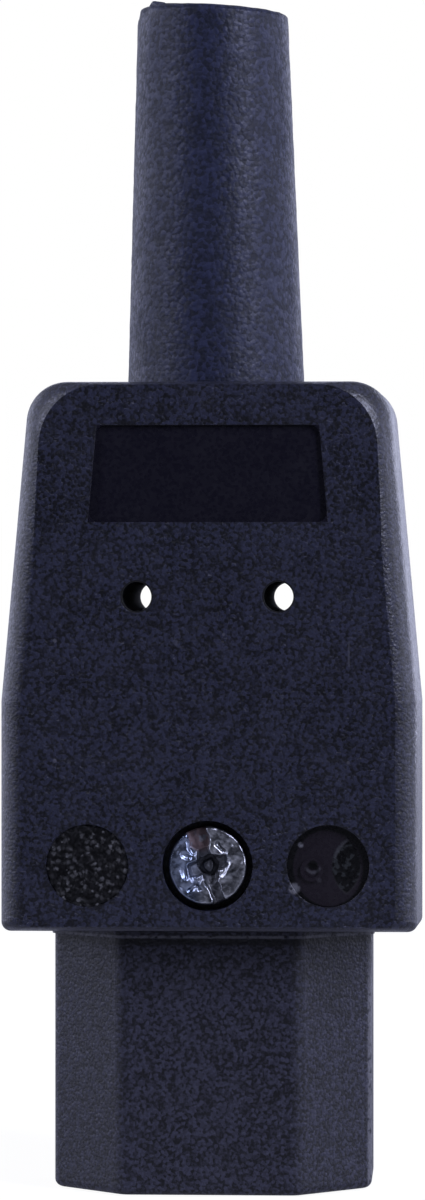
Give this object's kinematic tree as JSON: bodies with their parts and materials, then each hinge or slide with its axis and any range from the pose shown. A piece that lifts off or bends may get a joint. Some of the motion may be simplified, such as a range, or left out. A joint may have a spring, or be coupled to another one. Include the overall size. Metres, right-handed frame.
{
  "type": "rewireable appliance power connector",
  "caption": "Rewireable appliance power connector: slotted chamfered nose, split housing closed by a screw, inner terminals and cord clamp, tapered cord sleeve.",
  "frame": {"origin": "centre of the nose's mating face, which is also the bottom centre of the bounding box", "axes": "+Z from the mating face to the cord end, -Y out of the front face with the closing screw (the earth side), +X to the right seen from the front"},
  "size_m": [0.0316, 0.022, 0.0892],
  "materials": {
    "housing_plastic": "fine spark-eroded grain, near-black",
    "nose_plastic": "smooth satin, near-black",
    "sleeve_rubber": "soft grained, dark slate",
    "clamp_plastic": "moulded, dark grey",
    "plated_steel": "zinc plated, slightly worn",
    "contact_brass": "drawn and tumbled brass"
  },
  "bodies": {
    "housing": {"front_cover": "housing_plastic", "rear_shell": "housing_plastic", "contact_carrier": "nose_plastic", "contact_retainer": "nose_plastic", "cord_sleeve": "sleeve_rubber", "closing_nut": "plated_steel", "live_contact": "contact_brass", "live_terminal": "contact_brass", "live_wire_guard": "plated_steel", "neutral_contact": "contact_brass", "neutral_terminal": "contact_brass", "neutral_wire_guard": "plated_steel", "earth_contact": "contact_brass", "earth_terminal": "contact_brass", "earth_wire_guard": "plated_steel"},
    "closing_screw": {"closing_screw": "plated_steel"},
    "live_terminal_screw": {"live_terminal_screw": "plated_steel"},
    "neutral_terminal_screw": {"neutral_terminal_screw": "plated_steel"},
    "earth_terminal_screw": {"earth_terminal_screw": "plated_steel"},
    "cord_clamp": {"cord_clamp": "clamp_plastic"},
    "clamp_screw_left": {"clamp_screw_left": "plated_steel"},
    "clamp_screw_right": {"clamp_screw_right": "plated_steel"}
  },
  "joints": [
    {"name": "closing_screw_turn", "type": "hinge", "parent": "housing", "child": "closing_screw", "pos_m": [0, 0, 0.02475], "axis": [0, -1, 0], "range_deg": [0, 1728]},
    {"name": "live_terminal_screw_turn", "type": "hinge", "parent": "housing", "child": "live_terminal_screw", "pos_m": [0.007, 0, 0.0325], "axis": [0, 1, 0], "range_deg": [0, 1620]},
    {"name": "neutral_terminal_screw_turn", "type": "hinge", "parent": "housing", "child": "neutral_terminal_screw", "pos_m": [-0.007, 0, 0.0325], "axis": [0, 1, 0], "range_deg": [0, 1620]},
    {"name": "earth_terminal_screw_turn", "type": "hinge", "parent": "housing", "child": "earth_terminal_screw", "pos_m": [0, 0, 0.0394], "axis": [0, 1, 0], "range_deg": [0, 1620]},
    {"name": "cord_clamp_travel", "type": "slide", "parent": "housing", "child": "cord_clamp", "axis": [0, 1, 0], "range_m": [0, 0.00135]},
    {"name": "clamp_screw_left_turn", "type": "hinge", "parent": "cord_clamp", "child": "clamp_screw_left", "pos_m": [-0.0076, 0, 0.05255], "axis": [0, 1, 0], "range_deg": [0, 972]},
    {"name": "clamp_screw_right_turn", "type": "hinge", "parent": "cord_clamp", "child": "clamp_screw_right", "pos_m": [0.0076, 0, 0.05255], "axis": [0, 1, 0], "range_deg": [0, 972]}
  ],
  "couplings": [
    {"joint": "clamp_screw_left_turn", "follows": "cord_clamp_travel", "rad_per_m": 12566},
    {"joint": "clamp_screw_right_turn", "follows": "cord_clamp_travel", "rad_per_m": 12566}
  ]
}
